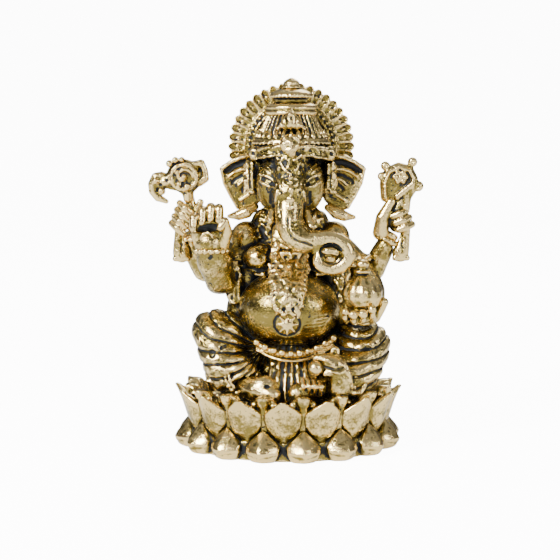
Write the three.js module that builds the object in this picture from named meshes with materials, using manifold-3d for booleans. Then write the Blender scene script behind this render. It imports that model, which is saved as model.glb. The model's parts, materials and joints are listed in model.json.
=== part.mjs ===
// A seated elephant-headed deity on a double lotus, cast in brass: a shelf figurine.
// Millimetres, +Z up, facing -Y. The origin is the centre of the flat foot that it stands on.
// Left and right are the figure's own, so its right hand is on the -X side.
import * as THREE from "three";
import { mergeVertices } from "three/addons/utils/BufferGeometryUtils.js";
import Module from "manifold-3d";

const wasm = await Module();
wasm.setup();

// ---- driving dimensions
const HEIGHT = 75; // foot to the tip of the crown
const SEAT_Z = 10.4; // top of the lotus core, which the figure sits on
const AXIS_X = 0.4; // the figure sits this far to one side of the lotus centre
const GAP = 0.3; // clearance left between neighbouring pieces
const PETALS = 16; // petals in each row of the lotus
const HALO = { x: 0.7, z: 60.9, front: 6.6, back: 7.8, plate: 9.6, tip: 12.6, petals: 40 };
const BAND_Z = 58.4; // underside of the headband, where the crown begins

// ---- solids from three.js geometry
function solidOf(geometry) {
  const bare = new THREE.BufferGeometry();
  bare.setAttribute("position", geometry.getAttribute("position"));
  bare.setIndex(geometry.index);
  const merged = mergeVertices(bare, 1e-4);
  const triVerts = new Uint32Array(merged.index.array);
  const vertProperties = merged.attributes.position.array;
  return new wasm.Manifold(new wasm.Mesh({ numProp: 3, vertProperties, triVerts }));
}

const join = (...solids) => solids.reduce((a, b) => a.add(b));

// An ellipsoid of radii rx, ry, rz, turned by the Euler angles in degrees.
function blob([x, y, z], [rx, ry, rz], g = 0, turn = [0, 0, 0], [around, along] = [12, 8]) {
  const ball = new THREE.SphereGeometry(1, around, along);
  ball.rotateX(Math.PI / 2);
  ball.scale(rx + g, ry + g, rz + g);
  const angles = turn.map(THREE.MathUtils.degToRad);
  ball.applyMatrix4(new THREE.Matrix4().makeRotationFromEuler(new THREE.Euler(...angles)));
  ball.translate(x, y, z);
  return solidOf(ball);
}

// A round-ended limb through stations [x, y, z, radius]. deep is its depth over its width.
function limb(stations, g = 0, { sides = 8, steps = 2, deep = 1 } = {}) {
  const curve = new THREE.CatmullRomCurve3(stations.map(([x, y, z]) => new THREE.Vector3(x, y, z)));
  const spans = stations.length - 1;
  const last = spans * steps;
  const capRings = [[0, 1], [0.62, 0.78]]; // [share of the radius, how far past the end, in radii]
  const profile = [
    ...capRings.map(([share, past]) => new THREE.Vector2(share, -past)),
    ...Array.from({ length: last + 1 }, (_, ring) => new THREE.Vector2(1, ring)),
    ...capRings.reverse().map(([share, past]) => new THREE.Vector2(share, last + past)),
  ];
  const tube = new THREE.LatheGeometry(profile, sides);
  const place = tube.getAttribute("position");
  const depthAxis = new THREE.Vector3(0, 1, 0);
  for (let i = 0; i < place.count; i++) {
    const ring = THREE.MathUtils.clamp(place.getY(i), 0, last);
    const past = place.getY(i) - ring;
    const along = ring / last;
    const span = Math.min(Math.floor(along * spans), spans - 1);
    const radius = THREE.MathUtils.lerp(stations[span][3], stations[span + 1][3], along * spans - span) + g;
    const tangent = curve.getTangent(along);
    const side = new THREE.Vector3().crossVectors(tangent, depthAxis).normalize();
    const depth = new THREE.Vector3().crossVectors(side, tangent);
    const point = curve.getPoint(along).addScaledVector(tangent, past * radius);
    point.addScaledVector(side, place.getX(i) * radius);
    point.addScaledVector(depth, place.getZ(i) * (radius * deep + g * (1 - deep)));
    place.setXYZ(i, point.x, point.y, point.z);
  }
  return solidOf(tube);
}

// A turned piece: profile [radius, z] from the bottom of the axis to its top, about a vertical axis.
function turned(profile, [x, y], g = 0, { sides = 24, deep = 1 } = {}) {
  const middle = (profile[0][1] + profile.at(-1)[1]) / 2;
  const grown = profile.map(([r, z]) => new THREE.Vector2(r ? r + g : 0, z + (z < middle ? -g : g)));
  const lathe = new THREE.LatheGeometry(grown, sides);
  lathe.rotateX(Math.PI / 2);
  lathe.scale(1, deep, 1);
  lathe.translate(x, y, 0);
  return solidOf(lathe);
}

// A turned piece whose axis points forwards: profile [radius, y] from its back to its front.
function facing(profile, [x, z], g = 0, { sides = 24 } = {}) {
  const middle = (profile[0][1] + profile.at(-1)[1]) / 2;
  const grown = profile.map(([r, y]) => new THREE.Vector2(r ? r + g : 0, y > middle ? -y - g : -y + g));
  const lathe = new THREE.LatheGeometry(grown, sides);
  lathe.rotateX(Math.PI);
  lathe.translate(x, 0, z);
  return solidOf(lathe);
}

// A ring of round section, its axis turned from the vertical by the Euler angles in degrees.
function ring(centre, radius, thickness, g = 0, turn = [0, 0, 0], { deep = 1, sides = 14 } = {}) {
  const torus = new THREE.TorusGeometry(radius, thickness + g, 5, sides);
  torus.scale(1, deep, 1);
  const angles = turn.map(THREE.MathUtils.degToRad);
  torus.applyMatrix4(new THREE.Matrix4().makeRotationFromEuler(new THREE.Euler(...angles)));
  torus.translate(...centre);
  return solidOf(torus);
}

// A flat slab: an outline in X and Z, its front face at y and its thickness behind that.
function slab(outline, y, thickness, g = 0) {
  const shape = outline.isShape ? outline : new THREE.Shape(outline.map(([x, z]) => new THREE.Vector2(x, z)));
  const grow = { bevelEnabled: g > 0, bevelSize: g, bevelThickness: g, bevelSegments: 1 };
  const plate = new THREE.ExtrudeGeometry(shape, { depth: thickness, curveSegments: 24, ...grow });
  plate.rotateX(Math.PI / 2);
  plate.translate(0, y + thickness, 0);
  return solidOf(plate);
}

// Everything of a solid above a level, which is raised or lowered with its clearance.
function above(level, solid) {
  const reach = 60;
  const below = [[-reach, level - reach], [reach, level - reach], [reach, level], [-reach, level]];
  return solid.subtract(slab(below, -reach, 2 * reach));
}

const mirrored = (outline) => outline.map(([x, z]) => [2 * AXIS_X - x, z]).reverse();

// ---- the assembly: each piece is cut back from every piece before it, with GAP between them
const figurine = new THREE.Group();
figurine.name = "seated_deity_figurine";
const pieces = [];
const overlap = (a, b) => a.min.every((v, k) => v < b.max[k]) && b.min.every((v, k) => v < a.max[k]);

const brass = {
  antique: new THREE.MeshStandardMaterial({ color: 0xb08d4a, roughness: 0.35, metalness: 1 }),
  polished: new THREE.MeshStandardMaterial({ color: 0xdcc48e, roughness: 0.22, metalness: 1 }),
  oxidised: new THREE.MeshStandardMaterial({ color: 0x57492a, roughness: 0.5, metalness: 1 }),
};

function add(group, name, material, shape) {
  let solid = shape(0);
  for (const before of pieces) {
    if (overlap(solid.boundingBox(), before.cutter.boundingBox())) solid = solid.subtract(before.cutter);
  }
  const [body] = solid.decompose().sort((a, b) => b.volume() - a.volume());
  pieces.push({ name, cutter: shape(GAP) });
  const { min, max } = body.boundingBox();
  const centre = min.map((v, k) => (v + max[k]) / 2);
  const { numProp, numVert, vertProperties, triVerts } = body.getMesh();
  const positions = new Float32Array(numVert * 3);
  for (let i = 0; i < numVert; i++) {
    for (let k = 0; k < 3; k++) positions[3 * i + k] = vertProperties[numProp * i + k] - centre[k];
  }
  const geometry = new THREE.BufferGeometry();
  geometry.setAttribute("position", new THREE.BufferAttribute(positions, 3));
  geometry.setIndex(new THREE.BufferAttribute(new Uint32Array(triVerts), 1));
  geometry.computeVertexNormals();
  const mesh = new THREE.Mesh(geometry, material);
  mesh.name = name;
  mesh.position.set(...centre);
  group.add(mesh);
}

function section() {
  const group = new THREE.Group();
  figurine.add(group);
  return group;
}

// ---- the double lotus
const lotus = section();

// One petal, a pointed leaf that leans outwards, dealt round the lotus by an angle.
function petalAt(angle, { r, z, half, lean }, g) {
  const outline = [[0, -1], [0.8, -0.55], [1, 0], [0.62, 0.66], [0, 1]];
  const leaf = new THREE.LatheGeometry(outline.map(([x, y]) => new THREE.Vector2(x, y)), 6);
  leaf.rotateX(Math.PI / 2);
  leaf.scale(...half.map((v) => v + g));
  leaf.rotateX(THREE.MathUtils.degToRad(lean));
  leaf.translate(0, -r, z);
  leaf.rotateZ(angle);
  return solidOf(leaf);
}

// A row of petals on a hoop [inner radius, outer radius, bottom, top].
function petalRow(row, g) {
  const [inner, outer, low, high] = row.hoop;
  const petals = Array.from({ length: PETALS }, (_, i) => {
    const turn = row.start + (i * 2 * Math.PI) / PETALS;
    return petalAt(turn, row, g);
  });
  const band = turned([[0, low], [outer, low], [outer, high], [0, high]], [0, 0], g, { sides: 16 });
  const through = [[0, low - 9], [inner, low - 9], [inner, high + 9], [0, high + 9]];
  const bore = turned(through, [0, 0], -g, { sides: 16 });
  return join(band, ...petals).subtract(bore);
}

const TURN = THREE.MathUtils.degToRad(-3); // the lotus is turned this far from square to the figure
const HALF_STEP = Math.PI / PETALS;
const LOWER = {
  start: TURN + HALF_STEP, r: 19.6, z: 2.9, half: [3.9, 3.5, 3.3], lean: 16, hoop: [16.8, 19.4, 0, 3.1],
};
const UPPER = {
  start: TURN, r: 21, z: 7.8, half: [4.2, 1.6, 4.6], lean: 22, hoop: [17.9, 19.9, 3.9, 8.2],
};
const INNER = {
  start: TURN + HALF_STEP, r: 18.3, z: 8.7, half: [3.6, 1.2, 4.3], lean: 12, hoop: [15.6, 17.5, 3.9, 9.4],
};

add(lotus, "lotus_core", brass.oxidised, (g) =>
  turned([[0, 0], [16.4, 0], [16.4, 3.2], [15.2, 3.8], [15.2, SEAT_Z], [0, SEAT_Z]], [0, 0], g));
add(lotus, "lower_petals", brass.polished, (g) => above(0, petalRow(LOWER, g)));
add(lotus, "upper_petals", brass.polished, (g) => petalRow(UPPER, g));
add(lotus, "inner_petals", brass.antique, (g) => petalRow(INNER, g));

// ---- what lies in front of the figure and on its limbs, added first so that the limbs are cut round it
const ornaments = section();
add(ornaments, "mouse_sweet", brass.polished, (g) =>
  blob([5.3, -17.6, 18.3], [1.5, 1.5, 1.5], g, [0, 0, 0], [10, 6]));
add(ornaments, "mouse", brass.antique, (g) =>
  join(
    limb([[9.9, -15.6, 13.3, 2.2], [10.2, -15.6, 16.2, 2.5], [8.8, -16, 18.8, 2.1], [5.6, -16.4, 20, 1]], g),
    blob([9.2, -15.4, 21.4], [1.1, 0.7, 1.2], g, [0, 0, 0], [8, 5]),
    limb([[9.4, -17, 17.4, 0.9], [6.9, -17.6, 17.2, 0.6]], g, { sides: 6, steps: 1 }),
    limb([[11, -15, 13, 0.9], [14.2, -14.6, 13, 0.6], [15.4, -14, 15, 0.5]], g, { sides: 6 })));
add(ornaments, "right_foot", brass.polished, (g) =>
  limb([[-8.6, -11.4, 14, 2.4], [-6, -14.6, 13.2, 2.4], [-3.2, -16.4, 12.8, 1.8]], g));
add(ornaments, "left_foot", brass.antique, (g) =>
  limb([[9, -12.4, 13.8, 2.3], [4.6, -14.6, 13.2, 2.1], [1.8, -15.8, 13, 2]], g));
add(ornaments, "right_anklet", brass.antique, (g) => ring([-9.2, -11, 15.2], 3.6, 0.8, g, [50, 42, 0]));
add(ornaments, "left_anklet", brass.antique, (g) => ring([10.2, -11, 14.6], 3.5, 0.8, g, [50, -50, 0]));
add(ornaments, "bead_belt", brass.polished, (g) =>
  limb([
    [-10, -3, 24, 0.9], [-5.4, -9.8, 21.8, 0.9], [0.5, -12.2, 20.6, 0.9],
    [7, -9.8, 21.8, 0.9], [11, -3, 24, 0.9],
  ], g, { sides: 6 }));
add(ornaments, "navel_flower", brass.polished, (g) =>
  facing([[0, -11.6], [2.1, -11.6], [2.1, -13.4], [0.9, -14.1], [0, -14.1]], [-0.2, 26.4], g, { sides: 16 }));

// ---- legs and skirt
const lap = section();
const onSeat = (g, solid) => above(SEAT_Z + GAP - g, solid);
add(lap, "right_leg", brass.antique, (g) =>
  onSeat(g, join(
    limb([[-4, 2.5, 18, 6], [-10, -1, 21.2, 6], [-14.6, -4.5, 22.6, 5.7]], g),
    limb([[-14.6, -4.5, 22.6, 5.7], [-13.4, -7.2, 17.4, 5.6], [-9.4, -10.4, 15.4, 4.2]], g))));
add(lap, "left_leg", brass.antique, (g) =>
  onSeat(g, join(
    limb([[5, 2.5, 17.5, 6], [11, -1, 19.8, 5.8], [15.6, -4.2, 20.4, 5.5]], g),
    limb([[15.6, -4.2, 20.4, 5.5], [14.6, -7.2, 16.4, 5.3], [10.4, -10.4, 14.8, 4.1]], g))));
add(lap, "skirt_front", brass.antique, (g) =>
  onSeat(g, limb([[0.7, -8.4, 19.2, 4.2], [0.7, -11.4, 15, 5.4], [0.6, -12.4, 12.4, 5.2]], g, { deep: 0.5 })));

// ---- halo and crown
const crest = section();
const HALO_SPOT = [HALO.x, HALO.z];

// A ring of pointed leaves: every second corner of its outer edge is a tip.
function haloLeaves(g) {
  const corners = Array.from({ length: 2 * HALO.petals }, (_, i) => {
    const angle = (i * Math.PI) / HALO.petals;
    const r = (i % 2 ? HALO.tip : HALO.tip - 1.1) + g;
    return [HALO.x + r * Math.sin(angle), HALO.z + r * Math.cos(angle)];
  });
  const bore = HALO.plate - g;
  const through = [[0, HALO.back + 9], [bore, HALO.back + 9], [bore, HALO.front - 9], [0, HALO.front - 9]];
  const hole = facing(through, HALO_SPOT, 0, { sides: 32 });
  return slab(corners.reverse(), HALO.front - g, HALO.back - HALO.front + 2 * g).subtract(hole);
}

add(crest, "halo_leaves", brass.antique, haloLeaves);
add(crest, "halo_plate", brass.oxidised, (g) =>
  facing(
    [
      [0, HALO.back], [HALO.plate - GAP, HALO.back], [HALO.plate - GAP, HALO.front - 0.7],
      [8, HALO.front - 0.7], [7.7, HALO.front], [0, HALO.front],
    ],
    HALO_SPOT, g, { sides: 32 }));
add(crest, "forehead_jewel", brass.polished, (g) =>
  slab([
    [-1, 60.2], [-1.1, 61.9], [-0.2, 63.3], [0.5, 63.9], [1.2, 63.3], [2.1, 61.9], [2, 60.2], [0.5, BAND_Z],
  ], -9.6, 2, g));
add(crest, "crown_palmette", brass.polished, (g) =>
  slab([
    [-1.1, 64.5], [2.2, 64.5], [2.6, 66.2], [1.6, 67.3], [0.55, 68.2], [-0.5, 67.3], [-1.5, 66.2],
  ], -7.4, 1.8, g));
add(crest, "crown_finial", brass.polished, (g) =>
  turned([[0, 72.9], [1.7, 72.9], [2, 73.7], [1.5, 74.6], [0, HEIGHT]], [0.7, 1], g, { sides: 12 }));
add(crest, "crown_tier", brass.polished, (g) =>
  turned([
    [0, 70], [3.5, 70], [3.5, 71], [4.4, 71.2], [4.2, 72], [2.6, 72.6], [0, 72.6],
  ], [0.6, 1], g, { sides: 20 }));
add(crest, "crown_upper_ring", brass.polished, (g) =>
  turned([[0, 67.4], [4.9, 67.4], [5.3, 68.6], [4.6, 69.7], [0, 69.7]], [0.6, 0.6], g, { sides: 20 }));
add(crest, "crown_cone", brass.antique, (g) =>
  turned([[0, 63.9], [6.5, 63.9], [5.3, 66], [4.7, 67.1], [0, 67.1]], [0.6, 0], g, { sides: 20 }));
add(crest, "crown_lower_ring", brass.antique, (g) =>
  turned([[0, 61.5], [7.6, 61.5], [7.7, 62.6], [6.9, 63.6], [0, 63.6]], [0.6, -0.3], g));
add(crest, "headband", brass.antique, (g) =>
  turned([[0, BAND_Z], [8.3, BAND_Z], [8.5, 59.8], [8.1, 61.2], [0, 61.2]], [0.8, -0.6], g));

// ---- head
const face = section();
const EAR = [
  [-5.6, 50.4], [-8, 47.8], [-10.3, 48.3], [-11.6, 50.6],
  [-13.2, 53.6], [-13.6, 56.8], [-9.6, 59.3], [-5.4, 58],
];
const EAR_SPREAD = 1.1; // the left ear stands out this much further than the right
const LAPPET = [[-8.9, 54.4], [-8.8, 51.9], [-6.4, 51.9], [-6.7, 54.4], [-6.9, 58.1], [-8.6, 58.1]];
add(face, "right_lappet", brass.antique, (g) => slab(LAPPET, -3.6, 2.2, g));
add(face, "left_lappet", brass.antique, (g) => slab(mirrored(LAPPET), -3.6, 2.2, g));
add(face, "right_earring", brass.antique, (g) =>
  blob([-10, -0.4, 46.9], [1.3, 1.1, 1.7], g, [0, 0, 0], [8, 6]));
add(face, "left_earring", brass.antique, (g) =>
  blob([11.4, -0.4, 46.7], [1.3, 1.1, 1.7], g, [0, 0, 0], [8, 6]));
add(face, "right_ear", brass.antique, (g) => slab(EAR, 0.4, 1.7, g));
add(face, "left_ear", brass.antique, (g) =>
  slab(mirrored(EAR).map(([x, z]) => [x + EAR_SPREAD, z]), 0.4, 1.7, g));
add(face, "right_tusk", brass.polished, (g) =>
  limb([[-2.9, -7.6, 48.4, 1], [-3.6, -9.6, 46.6, 0.8]], g, { steps: 1 }));
add(face, "left_tusk", brass.polished, (g) =>
  limb([[3.4, -7.6, 48.2, 1], [4.6, -10.8, 45.5, 0.7]], g, { steps: 1 }));
add(face, "trunk", brass.polished, (g) =>
  limb([
    [0.2, -8.4, 50.6, 3.1], [0.1, -9.6, 47.4, 3], [0.7, -10.8, 44.4, 2.8], [3.2, -11.8, 42.6, 2.5],
    [6.2, -12.4, 43.2, 1.9], [8.8, -12.8, 43.4, 1.5], [11.2, -13, 42.2, 1.5], [11.9, -13, 39.8, 1.5],
    [10.3, -13, 37.7, 1.5], [7.4, -13, 37.4, 1.4], [5.7, -13, 38.9, 1.2], [6.6, -13, 40.5, 1],
    [8.9, -13, 40.5, 0.9],
  ], g, { sides: 9 }));
add(face, "head", brass.antique, (g) =>
  join(
    blob([AXIS_X, -1, 54.6], [6.8, 6.4, 5.4], g, [0, 0, 0], [16, 10]),
    limb([[AXIS_X, -1.6, 56, 6.4], [0.3, -4.4, 52.4, 5], [0.2, -6, 50, 4]], g),
    limb([[AXIS_X, 1, 52, 5], [AXIS_X, 1, 47.6, 4.8]], g, { steps: 1 })));

// ---- arms, and what they hold; each hand closes round its attribute, so the attribute comes first
const arms = section();
add(arms, "sweet", brass.polished, (g) =>
  turned([
    [0, 29.1], [2.4, 29.3], [3.7, 31], [3.7, 33], [2.5, 35], [1, 36.4], [1.5, 37.6], [0, 38.8],
  ], [14.6, -12], g, { sides: 10 }));
add(arms, "axe_head", brass.antique, (g) =>
  slab([
    [-17.2, 56.9], [-20.2, 58], [-22.2, 56.4], [-25.2, 54.9], [-28, 55], [-28.2, 52.8],
    [-27.4, 50.4], [-24.6, 51.3], [-22.4, 50.9], [-20.2, 49.9], [-17.6, 52.2], [-16.6, 54.9],
  ], -2, 2, g));
add(arms, "axe_tail", brass.antique, (g) =>
  limb([[-21.8, -0.6, 46, 1], [-22.2, -0.4, 42.4, 1.1], [-21.7, -0.2, 39.2, 1.9]], g, { deep: 0.7 }));
add(arms, "noose", brass.antique, (g) =>
  join(
    ring([23, -0.8, 54.2], 2.9, 1.3, g, [90, 0, 8], { sides: 16, deep: 1.1 }),
    limb([[24.4, -0.8, 51.8, 1.2], [23.8, -0.8, 48.6, 1.1]], g, { steps: 1 })));
add(arms, "noose_tail", brass.antique, (g) =>
  limb([[24, -0.4, 46, 1], [23.8, -0.2, 42.6, 1.1], [22.9, 0, 39.2, 1.8]], g, { deep: 0.7 }));

// A bangle: its centre, its radius and thickness, and how far it is turned from level, in degrees.
function bangle(name, centre, [radius, thickness], turn) {
  add(arms, name, brass.antique, (g) => ring(centre, radius, thickness, g, turn, { sides: 10 }));
}

bangle("right_front_bracelet", [-15.2, -8, 40.6], [2.2, 0.6], [-12, -6, 0]);
bangle("right_rear_bracelet", [-20.2, 0.8, 42.2], [1.8, 0.6], [0, 0, 0]);
bangle("left_rear_bracelet", [20.3, 0.4, 42], [2, 0.7], [0, 28, 0]);
bangle("right_armlet", [-11, -0.4, 37.6], [3, 0.6], [0, 18, 0]);
bangle("left_armlet", [13.9, -0.2, 37.4], [3, 0.6], [0, -24, 0]);

// A hand: a palm, and fingers as bent limbs, all given by their stations.
function hand(palm, fingers, g) {
  const bent = fingers.map((finger) => limb(finger, g, { sides: 6, steps: 1 }));
  return join(blob(...palm, g, [0, 0, 0], [10, 6]), ...bent);
}

add(arms, "right_front_hand", brass.polished, (g) =>
  hand([[-15.7, -8.4, 44.4], [3, 1.7, 3.3]], [
    ...[-18.2, -16.5, -14.8, -13.3].map((x) => [
      [x, -8.6, 45.8, 0.95], [x, -8.9, 49.2 - 0.2 * (x + 15.6) ** 2, 0.95], [x, -10.4, 47.6, 0.9],
    ]),
    [[-13.6, -9.2, 43.6, 1], [-12.9, -10.2, 46.4, 0.9]],
  ], g));
add(arms, "right_front_arm", brass.antique, (g) =>
  join(
    limb([[-8.6, 1, 40.6, 3.2], [-11.4, -0.8, 36.8, 3], [-13.6, -3.2, 32.6, 2.8]], g),
    limb([[-13.6, -3.2, 32.6, 2.8], [-14.4, -6, 36.4, 2.4], [-15.3, -8, 41.2, 1.9]], g)));
add(arms, "right_rear_hand", brass.polished, (g) =>
  hand([[-20.4, 0, 45.6], [2, 1.6, 2.4]], [
    ...[45.6, 47.1, 48.6].map((z) => [
      [-18.6, -0.4, z, 0.8], [-20.4, -2, z + 0.6, 0.8], [-22.2, -0.6, z + 1.2, 0.8],
    ]),
  ], g));
add(arms, "right_rear_arm", brass.antique, (g) =>
  join(
    limb([[-8, 3.6, 40.4, 2.8], [-13.6, 3.6, 36.4, 2.6], [-17.2, 3, 35.4, 2.3]], g),
    limb([[-17.2, 3, 35.4, 2.3], [-19, 2, 38.8, 2.1], [-20.2, 0.8, 42.6, 1.7]], g)));
add(arms, "left_rear_hand", brass.polished, (g) =>
  hand([[22, 0.4, 45.4], [2, 1.6, 2.4]], [
    ...[45.4, 46.9, 48.4].map((z) => [
      [20.6, -0.4, z, 0.8], [22.6, -2, z + 0.8, 0.8], [24.8, -0.6, z + 1.6, 0.8],
    ]),
  ], g));
add(arms, "left_rear_arm", brass.antique, (g) =>
  join(
    limb([[9, 3.6, 40.4, 2.8], [14.6, 3, 36.8, 2.6], [17.4, 2.2, 35.6, 2.4]], g),
    limb([[17.4, 2.2, 35.6, 2.4], [18.8, 1.4, 38.6, 2.2], [21, 0.4, 43, 1.8]], g)));
add(arms, "left_front_hand", brass.polished, (g) =>
  hand([[14.7, -11.6, 27.6], [2.9, 2.4, 1.3]], [
    ...[12.1, 13.7, 15.3].map((x) => [[x, -13, 27.2, 0.9], [x - 0.2, -15, 28.2, 0.85]]),
    [[17.4, -10.6, 27.8, 1], [18.9, -11, 30.2, 0.85]],
  ], g));
add(arms, "left_front_arm", brass.antique, (g) =>
  join(
    limb([[10, 1, 40.4, 3.2], [13.8, -0.4, 36.8, 3], [17, -1.6, 32.2, 2.7]], g),
    limb([[17, -1.6, 32.2, 2.7], [17, -5, 28.8, 2.3], [15.2, -8.8, 27.2, 1.9]], g)));

// ---- trunk of the body and what is worn on it
const body = section();
add(body, "pendant", brass.polished, (g) => slab([[-2, 40.4], [0.5, 35.9], [3, 40.4]], -7.6, 1.6, g));
add(body, "chest_cloth", brass.polished, (g) =>
  limb([
    [0.4, -3.6, 45.6, 3.6], [0.2, -5.6, 40.6, 4], [0, -9, 36.2, 4.4],
    [-0.2, -12.6, 32.4, 4], [-0.2, -13.4, 28.6, 2.8],
  ], g, { deep: 0.28 }));
add(body, "right_drape", brass.antique, (g) =>
  limb([[-10.4, -4, 36, 0.9], [-11, -4.6, 33, 1.2], [-10.8, -4.6, 30.4, 1.4]], g, { deep: 0.6 }));
add(body, "left_drape", brass.antique, (g) =>
  limb([[10.6, -4.4, 36.4, 0.9], [11.2, -5, 33.4, 1.2], [10.9, -5, 30.6, 1.4]], g, { deep: 0.6 }));
add(body, "belly", brass.antique, (g) => blob([0.2, -4.2, 29.3], [10, 8.7, 7.3], g, [0, 0, 0], [16, 10]));
add(body, "torso", brass.antique, (g) =>
  join(
    onSeat(g, blob([AXIS_X, 3.5, 15.5], [12.4, 9.6, 6.6], g)),
    limb([
      [AXIS_X, 5, 20, 8.6], [AXIS_X, 4.6, 26, 8.8], [AXIS_X, 3.4, 32, 8.8], [AXIS_X, 2.4, 38.5, 8.6],
      [AXIS_X, 1.6, 42.6, 5.4],
    ], g, { sides: 10, deep: 0.86 }),
    limb([[-7.8, 2, 41, 3.2], [AXIS_X, 2, 42, 4.4], [8.8, 2, 41, 3.2]], g),
    blob([-4.8, -2.6, 38], [4.4, 3.4, 3.4], g),
    blob([5.8, -2.6, 38], [4.4, 3.4, 3.4], g)));

export default figurine;
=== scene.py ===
"""Looks of a small cast brass figurine: a seated elephant-headed deity on a double lotus.

Every piece starts as "clay": the signed distance to its CAD node, on a block of voxels. The clay is
softened, carved and built up in millimetres, then turned into a mesh that stands for the node.
Left and right are the figure's own, so its right hand is on the -X side. It faces -Y.
"""

import json
import math

import bpy
import numpy as np
import openvdb as vdb
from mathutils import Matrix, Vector


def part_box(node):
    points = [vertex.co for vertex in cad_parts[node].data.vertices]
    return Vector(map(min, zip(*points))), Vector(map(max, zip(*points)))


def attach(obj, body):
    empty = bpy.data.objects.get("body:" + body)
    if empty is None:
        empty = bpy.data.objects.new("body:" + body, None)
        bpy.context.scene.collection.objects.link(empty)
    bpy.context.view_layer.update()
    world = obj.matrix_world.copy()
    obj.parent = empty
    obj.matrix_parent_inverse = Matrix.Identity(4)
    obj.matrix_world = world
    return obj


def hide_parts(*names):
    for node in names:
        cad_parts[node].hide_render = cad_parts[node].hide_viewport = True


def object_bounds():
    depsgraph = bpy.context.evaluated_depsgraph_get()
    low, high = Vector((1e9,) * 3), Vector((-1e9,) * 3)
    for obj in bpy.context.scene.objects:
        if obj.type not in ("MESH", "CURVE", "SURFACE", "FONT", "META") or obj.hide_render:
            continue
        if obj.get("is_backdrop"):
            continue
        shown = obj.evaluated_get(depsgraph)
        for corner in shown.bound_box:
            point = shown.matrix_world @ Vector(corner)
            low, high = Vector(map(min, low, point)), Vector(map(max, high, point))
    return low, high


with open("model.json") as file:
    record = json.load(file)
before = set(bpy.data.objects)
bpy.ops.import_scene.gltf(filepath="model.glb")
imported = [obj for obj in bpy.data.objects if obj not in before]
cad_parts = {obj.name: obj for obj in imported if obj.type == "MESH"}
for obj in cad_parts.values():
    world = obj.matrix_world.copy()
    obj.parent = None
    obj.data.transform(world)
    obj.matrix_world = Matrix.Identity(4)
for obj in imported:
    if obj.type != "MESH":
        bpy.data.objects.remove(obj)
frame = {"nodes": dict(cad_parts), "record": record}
CAD_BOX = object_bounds()

MM = 1000.0  # millimetres in the frame's metre
VOXEL = 0.22  # mm
BAND = 2.6  # mm on either side of a surface in which its distance is kept
SOFTEN = 0.42  # mm, the usual rounding of a CAD piece's edges
GROW = 0.16  # mm, so that neighbours meet across the CAD model's clearance


# ---- numbers on voxels


def blur(field, sigma, voxel):
    """The field blurred by a Gaussian of sigma mm along each axis."""
    reach = max(1, int(round(2.5 * sigma / voxel)))
    weights = np.exp(-0.5 * (np.arange(-reach, reach + 1) * voxel / sigma) ** 2)
    weights = (weights / weights.sum()).astype(np.float32)
    for axis in range(3):
        pad = [(reach, reach) if a == axis else (0, 0) for a in range(3)]
        wide = np.pad(field, pad, mode="edge")
        length = field.shape[axis]
        field = sum(
            w * wide.take(range(k, k + length), axis=axis) for k, w in enumerate(weights)
        )
    return field


def sample(field, low, voxel, points):
    """The field's values at points in mm, by trilinear interpolation."""
    at = np.clip((points - low) / voxel, 0, np.array(field.shape) - 1.001)
    cell = at.astype(int)
    f = at - cell
    value = np.zeros(len(points), np.float32)
    for corner in np.ndindex(2, 2, 2):
        c = np.array(corner)
        weight = np.prod(np.where(c, f, 1 - f), axis=1)
        value += weight * field[tuple((cell + c).T)]
    return value


def smooth_min(a, b, k):
    """The smaller of two distances, blended over k mm where they are close."""
    h = np.clip(0.5 + 0.5 * (b - a) / k, 0, 1)
    return b + (a - b) * h - k * h * (1 - h)


def cad_mesh(node):
    """A CAD node's vertices in mm and its triangles."""
    obj = frame["nodes"][node]
    mesh = obj.data
    mesh.calc_loop_triangles()
    points = np.empty(3 * len(mesh.vertices), np.float32)
    mesh.vertices.foreach_get("co", points)
    triangles = np.empty(3 * len(mesh.loop_triangles), np.int32)
    mesh.loop_triangles.foreach_get("vertices", triangles)
    turn = np.array(obj.matrix_world)
    points = points.reshape(-1, 3) @ turn[:3, :3].T + turn[:3, 3]
    return (points * MM).astype(np.float32), triangles.reshape(-1, 3).astype(np.uint32)


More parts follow.
